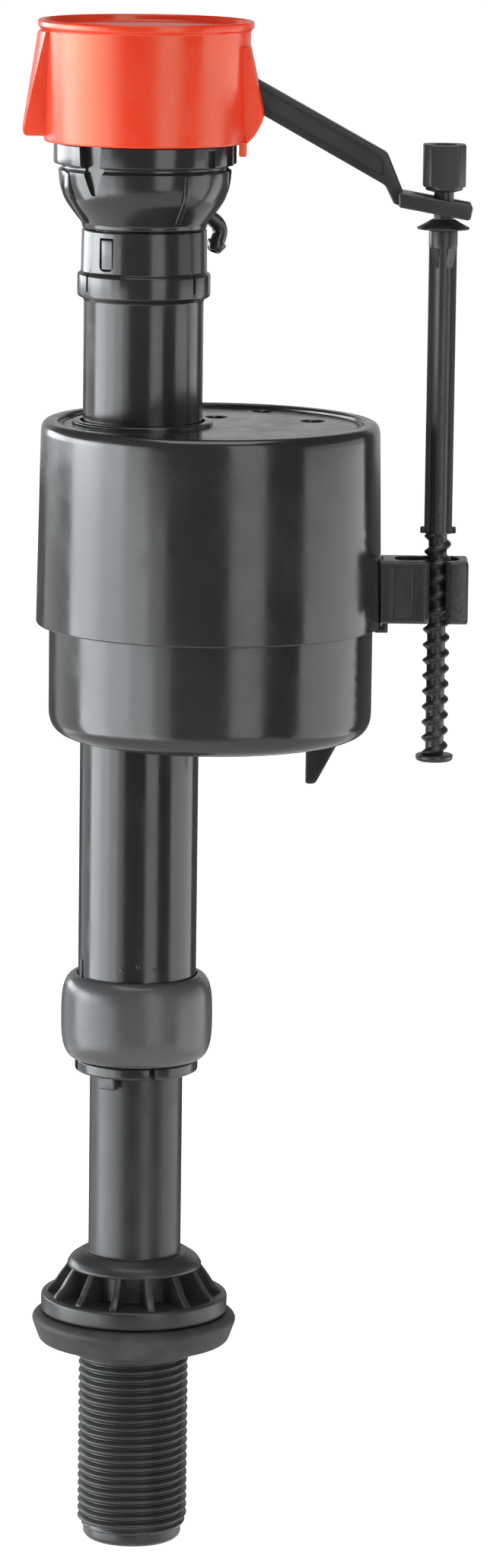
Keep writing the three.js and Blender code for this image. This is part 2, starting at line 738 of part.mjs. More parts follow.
const floatGroup = new THREE.Group();
floatGroup.add(
  mesh('adjusting_rod', adjustingRod(), MATT_BLACK),
  mesh('rod_clip', rodClip(), MATT_BLACK),
  mesh('float_cover', floatCover(), GLOSS_GREY),
  mesh('float_cup', floatCup(), GLOSS_GREY),
  mesh('float_bracket', floatBracket(), MATT_BLACK),
  mesh('rod_nut_clip', rodNutClip(), MATT_BLACK),
);

const group = new THREE.Group();
group.add(shank, riser, cap, floatGroup);

export default group;
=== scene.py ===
import math

import bmesh
import bpy
from mathutils import Matrix, Vector


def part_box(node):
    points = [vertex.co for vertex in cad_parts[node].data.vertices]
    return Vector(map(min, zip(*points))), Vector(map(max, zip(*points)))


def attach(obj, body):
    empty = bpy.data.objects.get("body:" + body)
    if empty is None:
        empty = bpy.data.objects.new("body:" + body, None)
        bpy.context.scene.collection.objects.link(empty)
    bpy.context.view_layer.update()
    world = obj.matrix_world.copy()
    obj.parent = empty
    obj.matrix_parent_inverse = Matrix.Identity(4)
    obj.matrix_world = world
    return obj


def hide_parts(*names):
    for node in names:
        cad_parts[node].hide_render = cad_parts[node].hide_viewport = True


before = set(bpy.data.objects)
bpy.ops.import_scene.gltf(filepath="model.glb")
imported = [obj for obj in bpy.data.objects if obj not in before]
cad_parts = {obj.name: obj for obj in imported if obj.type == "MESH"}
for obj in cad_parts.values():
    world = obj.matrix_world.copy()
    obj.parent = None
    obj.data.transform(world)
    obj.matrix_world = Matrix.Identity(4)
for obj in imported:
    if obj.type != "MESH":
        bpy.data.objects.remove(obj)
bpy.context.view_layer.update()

MM = 0.001
GAP = 0.3  # clearance between pieces that touch, in millimetres as all sizes below


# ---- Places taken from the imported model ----
def box_mm(node):
    """Lowest and highest corners of a node, in millimetres."""
    low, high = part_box(node)
    return low / MM, high / MM


shank_low, shank_high = box_mm("shank_body")
riser_low, riser_high = box_mm("riser_tube")
ring_low, ring_high = box_mm("lock_ring")
cap_low, cap_high = box_mm("cap_cover")
rod_low, rod_high = box_mm("adjusting_rod")
cover_low, cover_high = box_mm("float_cover")
cup_low, cup_high = box_mm("float_cup")
bracket_high = box_mm("float_bracket")[1]

FIN_DROP = 10.5  # how far the fin hangs below the float's floor
TONGUE_DROP = 2.4  # how far the tongue hangs below the riser's end
TAB_DROP = 2.5  # how far the lock tab hangs below the cap's edge

ROD_X = (rod_low.x + rod_high.x) / 2
FLOAT_X = (cover_low.x + cover_high.x) / 2
CUP_X = (cup_low.x + cup_high.x) / 2
FLOAT_STEP = cover_low.z
FLOAT_TOP = cover_high.z
FLOAT_BOTTOM = cup_low.z + FIN_DROP
SHANK_END = shank_low.z
INNER_TUBE_TOP = shank_high.z
SLEEVE_TOP = riser_high.z
RISER_END = riser_low.z + TONGUE_DROP
RIM = (226.9, 231.8)  # lowest and highest z of the rim at the riser's top
SLEEVE_R = 13.2

SHANK_THREAD_R = 11.9
SHANK_PITCH = 25.4 / 14
SHOULDER_TOP = 19.7
INNER_TUBE_R = 10.0
RISER_R = 12.7
RISER_BORE_R = 10.6
SNAP_AZIMUTH = -126  # degrees from +X; the snap window and the bayonet slot line up
TONGUE_AZIMUTH = -119
BOWL_BASE = SLEEVE_TOP + GAP
CAP_BOTTOM = cap_low.z + TAB_DROP
PIVOT = Vector((13, 0, 271))  # the lever's axle
LEVER_HALF = 2.6  # half the lever's thickness
SEAL_LEVELS = (54.6, 59.0)  # the two O-rings on the inner pipe
SHAFT_TOP = 241.5
ROD_THREAD_TOP = 176.9
ROD_PITCH = 3.34
GUIDE_BORE_R = 13.3
COVER_DECK = 199.6
CUP_R = 34.5


# ---- Outlines ----
def rounded(points, steps=4):
    """Closed outline in which a corner's third value is how far back its rounding starts."""
    outline = []
    for index, point in enumerate(points):
        corner = Vector(point[:2])
        if len(point) < 3:
            outline.append(corner)
            continue
        before = Vector(points[index - 1][:2]) - corner
        after = Vector(points[(index + 1) % len(points)][:2]) - corner
        start = corner + before.normalized() * min(point[2], before.length * 0.49)
        end = corner + after.normalized() * min(point[2], after.length * 0.49)
        for step in range(steps + 1):
            u = step / steps
            outline.append(curve_point(start, corner, end, u))
    return outline


def circle(x, y, radius, sides):
    return [
        (x + radius * math.cos(math.tau * side / sides), y + radius * math.sin(math.tau * side / sides))
        for side in range(sides)
    ]


def curve_point(start, corner, end, u):
    """Point at share u of the curve that leaves start and reaches end along the lines to corner."""
    return start * (1 - u) ** 2 + corner * 2 * u * (1 - u) + end * u * u


def turn_about_z(points, degrees):
    turn = Matrix.Rotation(math.radians(degrees), 3, "Z")
    return [turn @ Vector(point) for point in points]


def slab_faces(count):
    """Faces of a flat outline of count points, given once for each side, and of its rim."""
    faces = [list(range(count)), list(range(2 * count - 1, count - 1, -1))]
    for index in range(count):
        after = (index + 1) % count
        faces.append([index, after, count + after, count + index])
    return faces


# ---- Solids ----
def linked(name, mesh):
    """New object in the scene for a mesh."""
    piece = bpy.data.objects.new(name, mesh)
    bpy.context.scene.collection.objects.link(piece)
    return piece


def turn_piece(piece, degrees):
    piece.data.transform(Matrix.Rotation(math.radians(degrees), 4, "Z"))
    return piece


def shift_piece(piece, x):
    piece.data.transform(Matrix.Translation(Vector((x, 0, 0)) * MM))
    return piece


def solid(name, vertices, faces):
    """Mesh object from millimetre vertices, with outward faces."""
    mesh = bpy.data.meshes.new(name)
    mesh.from_pydata([Vector(vertex) * MM for vertex in vertices], [], faces)
    shape = bmesh.new()
    shape.from_mesh(mesh)
    bmesh.ops.remove_doubles(shape, verts=shape.verts, dist=1e-6)
    bmesh.ops.recalc_face_normals(shape, faces=shape.faces)
    shape.to_mesh(mesh)
    shape.free()
    return linked(name, mesh)


def lathe(name, outline, sides=128, x=0.0, y=0.0):
    """Turned solid. The outline is closed, in [radius, z], and may run along the axis."""
    vertices = []
    rows = []
    for radius, z in outline:
        if radius < 1e-6:
            rows.append([len(vertices)] * sides)
            vertices.append((x, y, z))
            continue
        rows.append(list(range(len(vertices), len(vertices) + sides)))
        for side in range(sides):
            angle = math.tau * side / sides
            vertices.append((x + radius * math.cos(angle), y + radius * math.sin(angle), z))
    faces = []
    for index, row in enumerate(rows):
        above = rows[(index + 1) % len(rows)]
        for side in range(sides):
            corners = [row[side], row[(side + 1) % sides], above[(side + 1) % sides], above[side]]
            face = [c for i, c in enumerate(corners) if c not in corners[:i]]
            if len(face) > 2:
                faces.append(face)
    return solid(name, vertices, faces)


def ring(name, inner, outer, z0, z1, edge=0.3, **options):
    outline = [(inner, z0, edge), (outer, z0, edge), (outer, z1, edge), (inner, z1, edge)]
    return lathe(name, rounded(outline), **options)


def disc(name, radius, z0, z1, **options):
    return lathe(name, [(0, z0), (radius, z0), (radius, z1), (0, z1)], **options)


def plate(name, outline, y0, y1, azimuth=0.0, edge=0.3):
    """Flat outline of [x, z] points with a thickness in y and rounded edges."""
    vertices = [(x, y0, z) for x, z in outline] + [(x, y1, z) for x, z in outline]
    piece = solid(name, turn_about_z(vertices, azimuth), slab_faces(len(outline)))
    if edge:
        round_edges(piece, edge)
    return piece


def round_edges(piece, width, segments=3, angle=40):
    """Bevel the edges of a solid that turn by more than the angle, in degrees."""
    shape = bmesh.new()
    shape.from_mesh(piece.data)
    sharp = [
        edge for edge in shape.edges
        if len(edge.link_faces) == 2 and edge.calc_face_angle() > math.radians(angle)
    ]
    bmesh.ops.bevel(shape, geom=sharp, offset=width * MM, offset_type="OFFSET",
                    segments=segments, profile=0.5, affect="EDGES", clamp_overlap=True)
    shape.to_mesh(piece.data)
    shape.free()


def block(name, x0, x1, y0, y1, z0, z1, azimuth=0.0, edge=0.0):
    outline = [(x0, z0), (x1, z0), (x1, z1), (x0, z1)]
    return plate(name, outline, y0, y1, azimuth, edge)


def prism(name, outline, z0, z1, x=0.0, edge=0.3):
    """Flat outline of [x, y] points with a height and rounded edges."""
    vertices = [(x + px, py, z0) for px, py in outline]
    vertices += [(x + px, py, z1) for px, py in outline]
    piece = solid(name, vertices, slab_faces(len(outline)))
    if edge:
        round_edges(piece, edge)
    return piece


def combine(piece, other, operation):
    modifier = piece.modifiers.new(operation, "BOOLEAN")
    modifier.operation = operation
    modifier.solver = "MANIFOLD"
    modifier.object = other
    bpy.context.view_layer.update()
    graph = bpy.context.evaluated_depsgraph_get()
    mesh = bpy.data.meshes.new_from_object(piece.evaluated_get(graph))
    piece.modifiers.clear()
    piece.data = mesh
    bpy.data.objects.remove(other)
    return piece


def add(piece, *others):
    for other in others:
        combine(piece, other, "UNION")
    return piece


def cut(piece, *others):
    for other in others:
        combine(piece, other, "DIFFERENCE")
    return piece


def around(count, make):
    return [make(360 * index / count) for index in range(count)]


def screw(name, root, crest, pitch, z0, z1, profile, sides=96, x=0.0, fade=1.0):
    """Right-hand thread with closed ends, which sinks below the core over the length of fade.

    The profile is one turn's section, in [share of the pitch, share of the height].
    """
    sunk, overlap = 0.4, 0.05
    rows = len(profile)
    turns = math.ceil((z1 - z0) / pitch) + 2
    count = (turns + 1) * rows
    vertices = []
    for row in range(count + rows + 1):
        share, height = profile[row % rows]
        for side in range(sides):
            angle = math.tau * side / sides
            z = z0 + pitch * (row // rows - 1 + share + side / sides)
            inside = min(z - z0, z1 - z) / fade
            shown = max(0.0, min(1.0, inside))
            radius = root + (crest - root) * height * shown
            if inside <= 0:
                radius = root - sunk
                z = max(z0 - overlap, min(z1 + overlap, z))
            vertices.append((x + radius * math.cos(angle), radius * math.sin(angle), z))

    def at(side, row):
        return (row + (rows if side == sides else 0)) * sides + side % sides

    faces = []
    for row in range(count):
        for side in range(sides):
            faces.append([at(side, row), at(side + 1, row), at(side + 1, row + 1), at(side, row + 1)])
    mesh = bpy.data.meshes.new(name)
    mesh.from_pydata([Vector(vertex) * MM for vertex in vertices], [], faces)
    shape = bmesh.new()
    shape.from_mesh(mesh)
    bmesh.ops.remove_doubles(shape, verts=shape.verts, dist=2e-6)
    bmesh.ops.dissolve_degenerate(shape, edges=shape.edges, dist=1e-6)
    open_ends = [edge for edge in shape.edges if edge.is_boundary]
    bmesh.ops.holes_fill(shape, edges=open_ends, sides=0)
    bmesh.ops.recalc_face_normals(shape, faces=shape.faces)
    shape.to_mesh(mesh)
    shape.free()
    return linked(name, mesh)


def merge(name, *pieces):
    """Several solids as one object."""
    shape = bmesh.new()
    for piece in pieces:
        shape.from_mesh(piece.data)
        bpy.data.objects.remove(piece)
    mesh = bpy.data.meshes.new(name)
    shape.to_mesh(mesh)
    shape.free()
    return linked(name, mesh)


def finish_piece(piece, node, body, material, sharp=32):
    """Smooth shading, material, body and the CAD node that the piece stands for."""
    shape = bmesh.new()
    shape.from_mesh(piece.data)
    bmesh.ops.dissolve_degenerate(shape, edges=shape.edges, dist=1e-7)
    shape.to_mesh(piece.data)
    shape.free()
    piece.data.shade_smooth()
    piece.data.set_sharp_from_angle(angle=math.radians(sharp))
    piece.data.materials.clear()
    piece.data.materials.append(material)
    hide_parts(node)
    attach(piece, body)
    return piece


# ---- Materials ----
def new_material(name):
    """Material with its node tree, its shader and the coordinates that its textures use."""
    material = bpy.data.materials.new(name)
    material.use_nodes = True
    tree = material.node_tree
    place = tree.nodes.new("ShaderNodeTexCoord").outputs["Object"]
    return material, tree, tree.nodes["Principled BSDF"], place


def add_bump(tree, shader, height, strength, distance):
    """Bump whose distance is in millimetres."""
    bump = tree.nodes.new("ShaderNodeBump")
    bump.inputs["Strength"].default_value = strength
    bump.inputs["Distance"].default_value = distance * MM
    tree.links.new(height, bump.inputs["Height"])
    tree.links.new(bump.outputs["Normal"], shader.inputs["Normal"])


def noise(tree, coordinates, scale, detail=4.0, roughness=0.5):
    """Noise whose scale is in cells per millimetre."""
    texture = tree.nodes.new("ShaderNodeTexNoise")
    texture.inputs["Scale"].default_value = scale / MM
    texture.inputs["Detail"].default_value = detail
    texture.inputs["Roughness"].default_value = roughness
    tree.links.new(coordinates, texture.inputs["Vector"])
    return texture.outputs["Fac"]


def remap(tree, value, low, high, out_low, out_high):
    node = tree.nodes.new("ShaderNodeMapRange")
    node.inputs["From Min"].default_value = low
    node.inputs["From Max"].default_value = high
    node.inputs["To Min"].default_value = out_low
    node.inputs["To Max"].default_value = out_high
    tree.links.new(value, node.inputs["Value"])
    return node.outputs["Result"]


def arithmetic(tree, operation, first, second):
    node = tree.nodes.new("ShaderNodeMath")
    node.operation = operation
    for socket, value in zip(node.inputs, (first, second)):
        if isinstance(value, (int, float)):
            socket.default_value = value
        else:
            tree.links.new(value, socket)
    return node.outputs[0]


def blend_colour(tree, factor, first, second):
    node = tree.nodes.new("ShaderNodeMix")
    node.data_type = "RGBA"
    for socket, value in (("A", first), ("B", second)):
        target = [s for s in node.inputs if s.name == socket and s.type == "RGBA"][0]
        if isinstance(value, tuple):
            target.default_value = (*value, 1.0)
        else:
            tree.links.new(value, target)
    tree.links.new(factor, node.inputs[0])
    return [s for s in node.outputs if s.type == "RGBA"][0]


def stretched(tree, coordinates, x, y, z):
    node = tree.nodes.new("ShaderNodeMapping")
    node.inputs["Scale"].default_value = (x, y, z)
    tree.links.new(coordinates, node.inputs["Vector"])
    return node.outputs["Vector"]


def moulded(name, colour, roughness, grain=0.02, specular=0.5, worn=None, coat=0.0, dust=0.25,
            sheen=(1.0, 1.0, 1.0)):
    """Injection-moulded plastic: flow shading, handling marks, fine scratches and worn edges."""
    material, tree, shader, place = new_material(name)

    flow = noise(tree, stretched(tree, place, 1.0, 1.0, 0.25), 0.035, 3.0)
    speck = noise(tree, place, 1.6, 2.0)
    smear = noise(tree, place, 0.09, 5.0, 0.62)
    scratch_a = noise(tree, stretched(tree, place, 1.0, 1.0, 0.012), 3.6, 3.0)
    scratch_b = noise(tree, stretched(tree, place, 0.05, 0.05, 1.4), 2.4, 3.0)

    # Flow shading, then paler worn edges, then dust in the creases.
    lighter = tuple(min(1.0, channel * 1.18 + 0.004) for channel in colour)
    darker = tuple(channel * 0.86 for channel in colour)
    base = blend_colour(tree, remap(tree, flow, 0.35, 0.65, 0.0, 1.0), darker, lighter)
    edge = tree.nodes.new("ShaderNodeNewGeometry").outputs["Pointiness"]
    wear = remap(tree, edge, 0.53, 0.62, 0.0, 1.0)
    wear = arithmetic(tree, "MULTIPLY", wear, remap(tree, speck, 0.42, 0.62, 0.15, 0.8))
    paler = tuple(min(1.0, c * 1.7 + 0.02) for c in colour)
    base = blend_colour(tree, wear, base, worn or paler)
    crease = remap(tree, edge, 0.47, 0.40, 0.0, dust)
    dust_grey = 0.16
    dusty = tuple(0.5 * c + 0.5 * dust_grey for c in colour)
    base = blend_colour(tree, crease, base, dusty)
    tree.links.new(base, shader.inputs["Base Color"])

    marks = remap(tree, smear, 0.38, 0.72, -0.05, 0.10)
    rough = arithmetic(tree, "ADD", marks, roughness)
    hairs = remap(tree, scratch_a, 0.58, 0.74, 0.0, 0.04)
    rough = arithmetic(tree, "ADD", rough, hairs)
    tree.links.new(rough, shader.inputs["Roughness"])
    shader.inputs["Specular IOR Level"].default_value = specular
    shader.inputs["Coat Weight"].default_value = coat
    shader.inputs["Coat Roughness"].default_value = 0.12
    shader.inputs["Specular Tint"].default_value = (*sheen, 1.0)

    texture = noise(tree, place, 0.55, 3.0)
    hair_bump = arithmetic(tree, "ADD", remap(tree, scratch_a, 0.60, 0.78, 0.0, -0.10),
                           remap(tree, scratch_b, 0.60, 0.78, 0.0, -0.08))
    height = arithmetic(tree, "ADD", texture, hair_bump)
    add_bump(tree, shader, height, strength=0.6, distance=grain)
    return material


def rubber(name, colour):
    """Soft rubber with a fine matt skin, paler bloom and dust in its grain."""
    material, tree, shader, place = new_material(name)
    bloom = noise(tree, place, 0.16, 5.0, 0.65)
    grain = noise(tree, place, 3.0, 3.0)
    pale = tuple(channel * 1.9 + 0.015 for channel in colour)
    base = blend_colour(tree, remap(tree, bloom, 0.40, 0.75, 0.0, 0.7), colour, pale)
    tree.links.new(base, shader.inputs["Base Color"])
    tree.links.new(remap(tree, bloom, 0.3, 0.7, 0.50, 0.68), shader.inputs["Roughness"])
    shader.inputs["Specular IOR Level"].default_value = 0.4
    add_bump(tree, shader, grain, strength=0.8, distance=0.04)
    return material


def drawn_steel(name):
    """Wire with lengthwise drawing marks and faint water spots."""
    material, tree, shader, place = new_material(name)
    lines = noise(tree, stretched(tree, place, 1.0, 1.0, 0.02), 8.0, 2.0)
    spots = noise(tree, place, 0.8, 3.0)
    bright, spotted = (0.62, 0.61, 0.60), (0.42, 0.40, 0.38)
    base = blend_colour(tree, remap(tree, spots, 0.5, 0.7, 0.0, 1.0), bright, spotted)
    tree.links.new(base, shader.inputs["Base Color"])
    tree.links.new(remap(tree, lines, 0.3, 0.7, 0.18, 0.36), shader.inputs["Roughness"])
    shader.inputs["Metallic"].default_value = 1.0
    add_bump(tree, shader, lines, strength=0.5, distance=0.01)
    return material


GLOSS_GREY = moulded("gloss_grey", (0.0125, 0.012, 0.013), 0.19, grain=0.010, specular=0.6, coat=0.1)
SATIN_GREY = moulded("satin_grey", (0.056, 0.057, 0.059), 0.26, grain=0.014, specular=0.5)
MATT_BLACK = moulded("matt_black", (0.016, 0.016, 0.017), 0.32, grain=0.022, specular=0.5)
SHANK_BLACK = moulded("shank_black", (0.016, 0.016, 0.017), 0.33, grain=0.020, specular=0.5)
CAP_RED = moulded("cap_red", (0.60, 0.022, 0.003), 0.25, grain=0.006, specular=0.75,
                  worn=(0.60, 0.09, 0.02), dust=0.06, sheen=(0.5, 1.0, 0.7))
RUBBER = rubber("seal_rubber", (0.022, 0.022, 0.023))
STEEL = drawn_steel("pin_steel")


# ---- Shank ----
def shank_piece():
    flange_under, flange_top = 6.5, 10.4
    inlet_bore, tube_bore = 6.2, 7.8
    thread_root, thread_start, thread_end = 10.85, SHANK_END + 2.6, 2.0
    gusset_count = 14
    core = lathe("shank_core", rounded([
        (inlet_bore, SHANK_END, 0.4),
        (9.8, SHANK_END, 0.4),
        (10.6, SHANK_END + 0.8, 0.4),
        (10.6, thread_start, 0.2),
        (10.5, SHANK_END + 2.8),
        (10.5, flange_under),
        (20.1, flange_under, 0.6),
        (20.2, flange_top - 0.2, 0.7),
        (19.4, flange_top + 0.2, 0.5),
        (11.3, flange_top, 0.6),
        (11.3, 16.3, 0.4),
        (14.4, 16.3, 0.3),
        (14.6, 16.9, 0.3),
        (13.8, 18.3, 0.7),
        (11.5, SHOULDER_TOP + 0.1, 0.5),
        (INNER_TUBE_R, SHOULDER_TOP, 0.3),
        (INNER_TUBE_R, INNER_TUBE_TOP, 0.3),
        (tube_bore, INNER_TUBE_TOP, 0.3),
        (tube_bore, 10),
        (inlet_bore, 7),
    ]), sides=144)
    gusset = [(10.8, flange_top - 0.4), (18.9, flange_top - 0.4), (18.9, flange_top + 0.4, 0.4),
              (17.2, 12.6, 1.0), (16.2, 14.2, 0.8), (14.4, 16.7), (10.8, 16.9)]
    ribs = around(gusset_count, lambda azimuth: plate(
        "gusset", rounded(gusset), -0.75, 0.75, azimuth, edge=0.18))
    add(core, *ribs)
    profile = [(0.0, 0.0), (0.06, 0.04), (0.20, 0.45), (0.38, 0.93), (0.46, 1.0), (0.54, 1.0),
               (0.62, 0.93), (0.80, 0.45), (0.94, 0.04)]
    helix = screw("shank_thread", thread_root, SHANK_THREAD_R, SHANK_PITCH, thread_start, thread_end,
                  profile, sides=120, fade=1.6)
    piece = merge("shank", core, helix)
    return finish_piece(piece, "shank_body", "shank", SHANK_BLACK)


def washer_piece():
    bore = SHANK_THREAD_R + GAP
    bottom, top = -2.6, 6.2
    piece = lathe("washer", rounded([
        (bore, bottom, 0.3),
        (13.9, bottom, 0.5),
        (14.8, 0, 0.3),
        (20.5, 0, 0.9),
        (22.3, 5.0, 1.0),
        (20.8, top, 0.8),
        (bore, top, 0.4),
    ], steps=6), sides=160)
    return finish_piece(piece, "shank_washer", "shank", RUBBER)


# ---- Riser ----
def riser_piece():
    lip_r, lip_top = 13.25, ring_low.z - GAP
    rim_r = 14.1
    socket_r = 11.0
    body = lathe("riser", rounded([
        (RISER_BORE_R, RISER_END, 0.3),
        (lip_r, RISER_END, 0.6),
        (lip_r, lip_top, 0.4),
        (RISER_R, lip_top, 0.3),
        (RISER_R, RIM[0] - 0.7, 0.5),
        (rim_r, RIM[0], 0.5),
        (rim_r, RIM[1] - 0.2, 0.5),
        (SLEEVE_R + 0.15, RIM[1] + 0.2, 0.3),
        (SLEEVE_R, SLEEVE_TOP, 0.4),
        (socket_r, SLEEVE_TOP, 0.3),
        (socket_r, 225),
        (RISER_BORE_R, 224),
    ]), sides=160)
    tongue = block("tongue", RISER_BORE_R + 0.2, RISER_R + 0.15, -1.9, 1.9, RISER_END - TONGUE_DROP,
                   RISER_END + 2, TONGUE_AZIMUTH, edge=0.25)
    vertical_rib = block("rib", RISER_R - 1, RISER_R + 0.35, -0.5, 0.5, 78, 84.5, -158, edge=0.2)
    add(body, tongue, vertical_rib)
    for azimuth, z in ((-104, 83.4), (-88, 84.2), (-72, 83.4)):
        add(body, block("bump", RISER_R - 1, RISER_R + 0.22, -0.45, 0.45, z, z + 0.8, azimuth,
                        edge=0.15))
    window = plate("window", rounded([
        (-1.8, RIM[1] + 0.9, 1.3), (1.8, RIM[1] + 0.9, 1.3),
        (1.8, SLEEVE_TOP - 1.3, 0.3), (-1.8, SLEEVE_TOP - 1.3, 0.3)]), 10.4, 15, edge=0)
    cut(body, turn_piece(window, SNAP_AZIMUTH - 90))
    for azimuth in (-168, -147, -40, -18, 20, 60, 100, 140):
        cut(body, block("notch", 13.3, 15, -0.35, 0.35, RIM[0] + 1.2, RIM[1] + 1, azimuth))
    for turn in (0, 90, 180, 270):
        cut(body, block("split", 9, 15, -0.7, 0.7, RISER_END - 3, RISER_END + 14,
                        TONGUE_AZIMUTH + 45 + turn))
    return finish_piece(body, "riser_tube", "riser", GLOSS_GREY)


def lock_ring_piece():
    bore = RISER_R + GAP
    z0, z1 = ring_low.z, ring_high.z
    middle, half = (z0 + z1) / 2, (z1 - z0) / 2
    end_radius, full_radius = 13.4, 16.3
    fullness = 3.2  # higher makes the barrel's side flatter and its ends rounder
    steps = 40
    outline = [(bore, z0)]
    for step in range(steps + 1):
        share = -math.cos(math.pi * step / steps)
        swell = math.sqrt(max(0.0, 1 - abs(share) ** fullness))
        outline.append((end_radius + (full_radius - end_radius) * swell, middle + half * share))
    outline.append((bore, z1))
    outline.append((bore, middle))
    piece = lathe("lock_ring_barrel", outline, sides=160)
    return finish_piece(piece, "lock_ring", "lock_ring", SATIN_GREY)


# ---- Water path inside the riser ----
def inner_pipe_piece():
    piston, groove, groove_half = 7.4, 5.7, 1.05
    bore, outer = 4.7, 6.2
    bottom, top = 52, 236
    outline = [(bore, bottom, 0.3), (piston, bottom, 0.5)]
    for level in SEAL_LEVELS:
        outline += [(piston, level - groove_half), (groove, level - groove_half),
                    (groove, level + groove_half), (piston, level + groove_half)]
    outline += [(piston, 61.5, 0.3), (outer, 63, 0.3), (outer, top, 0.3), (bore, top, 0.3)]
    piece = lathe("water_pipe", rounded(outline), sides=96)
    return finish_piece(piece, "inner_pipe", "riser", GLOSS_GREY)


def seal_ring_piece(node, level):
    wire, outer = 0.78, 7.55
    centre = outer - 0.8
    piece = lathe(node + "_seal", circle(centre, level, wire, 16), sides=96)
    return finish_piece(piece, node, "riser", RUBBER)


# ---- Valve head ----
def bowl_piece():
    body = lathe("bowl", rounded([
        (6.5, 226, 0.3),
        (10.7, 226, 0.4),
        (10.7, BOWL_BASE),
        (SLEEVE_R, BOWL_BASE, 0.3),
        (SLEEVE_R + 0.1, 242.3, 0.3),
        (14.3, 243.5, 0.8),
        (15.7, 245.3, 1.2),
        (17.1, 247.4, 1.2),
        (18.0, 250.2, 1.2),
        (18.3, 253.5, 0.25),
        (17.6, 253.8, 0.25),
        (17.6, 254.5, 0.25),
        (19.3, 254.8, 0.35),
        (19.3, 259.2, 0.35),
        (16.4, 259.2, 0.3),
        (16.4, 255.7),
        (15.0, 255.7, 0.3),
        (15.0, 249.5, 1.0),
        (12.5, 246.5, 0.6),
        (6.0, 246.5, 0.4),
        (6.0, 254.8, 0.4),
        (4.2, 254.8, 0.4),
        (4.2, 236.6),
        (6.5, 236.3),
    ]), sides=160)
    lug = block("lug", 10.2, 13.05, -1.55, 1.55, 232.95, SLEEVE_TOP - 1.6, SNAP_AZIMUTH, edge=0.3)
    rib = plate("rib", rounded([
        (13, 242.4), (14.5, 242.6, 0.6), (18.5, 248.6, 1.5), (18.5, 253.4, 0.3), (16, 253.4)]),
        -0.9, 0.9, -152, edge=0.3)
    small_rib = plate("rib", rounded([
        (13, 242.4), (14.3, 242.6, 0.6), (18.3, 248.6, 1.5), (18.4, 253.4, 0.3), (16, 253.4)]),
        -0.6, 0.6, -60, edge=0.2)
    add(body, lug, rib, small_rib)
    for turn in (0, 120, 240):
        slot = plate("slot", rounded([
            (-2.9, 260), (2.9, 260), (2.4, 253.5, 0.4), (0.7, 248.8, 0.3), (-0.7, 248.8, 0.3),
            (-2.4, 253.5, 0.4)]), 16.9, 21, edge=0)
        cut(body, turn_piece(slot, SNAP_AZIMUTH + turn - 90))
    for azimuth in (-44, -22):
        cut(body, block("recess", 18.2, 21, -1.5, 1.5, 250.4, 258.4, azimuth))
    piece = merge("valve_head", body, refill_nipple())
    return finish_piece(piece, "valve_bowl", "riser", GLOSS_GREY)


def refill_nipple():
    """Elbow with a barb, swept along its bend."""
    pipe_radius, bore_radius, bore_depth = 1.6, 0.9, 2.5
    azimuth = 45  # the nipple leans behind the bowl, on the rod's side
    start, corner, end = Vector((20.6, 0, 241.7)), Vector((23.4, 0, 240.1)), Vector((22.0, 0, 237.6))
    steps = 8
    bend = [Vector((14.2, 0, 245.4)), start]
    bend += [curve_point(start, corner, end, step / steps) for step in range(1, steps + 1)]
    sections = [(point, pipe_radius) for point in bend]
    tip_direction = Vector((-0.48, 0, -0.88)).normalized()
    for length, radius in ((0.3, 1.6), (0.8, 1.6), (0.9, 2.1), (1.2, 2.1), (2.7, 1.5), (2.9, 1.3)):
        sections.append((bend[-1] + tip_direction * length, radius))
    mouth = sections[-1][0]
    sections += [(mouth, bore_radius), (mouth - tip_direction * bore_depth, bore_radius)]
    sides = 32
    vertices = []
    for index, (point, radius) in enumerate(sections):
        if index < len(bend) - 1:
            along = (sections[index + 1][0] - sections[max(index - 1, 0)][0]).normalized()
        else:
            along = tip_direction
        across = along.cross(Vector((0, 1, 0))).normalized()
        for side in range(sides):
            angle = math.tau * side / sides
            offset = across * math.cos(angle) + Vector((0, 1, 0)) * math.sin(angle)
            vertices.append(point + offset * radius)
    faces = [list(range(sides)), list(range(len(vertices) - 1, len(vertices) - 1 - sides, -1))]
    for row in range(len(sections) - 1):
        for side in range(sides):
            after = (side + 1) % sides
            faces.append([row * sides + side, row * sides + after,
                          (row + 1) * sides + after, (row + 1) * sides + side])
    return solid("nipple", turn_about_z(vertices, azimuth), faces)


def diaphragm_piece():
    piece = lathe("diaphragm_disc", rounded([
        (1.0, 255.2), (7.0, 255.2, 0.3), (7.5, 256.2, 0.4), (14.4, 256.2), (14.6, 256.0, 0.2),
        (16.0, 256.0, 0.4), (16.0, 259.1, 0.4), (14.4, 259.1, 0.3), (14.4, 257.2, 0.4),
        (7.5, 257.2, 0.2), (7.0, 257.6, 0.2), (1.0, 257.6)]), sides=96)
    return finish_piece(piece, "diaphragm", "riser", RUBBER)


def pin_piece():
    piece = lathe("bleed_pin", rounded([
        (0, 252.5), (0.6, 252.5, 0.3), (0.6, 261.8, 0.3), (0, 261.8)]), sides=32)
    return finish_piece(piece, "metering_pin", "cap", STEEL)


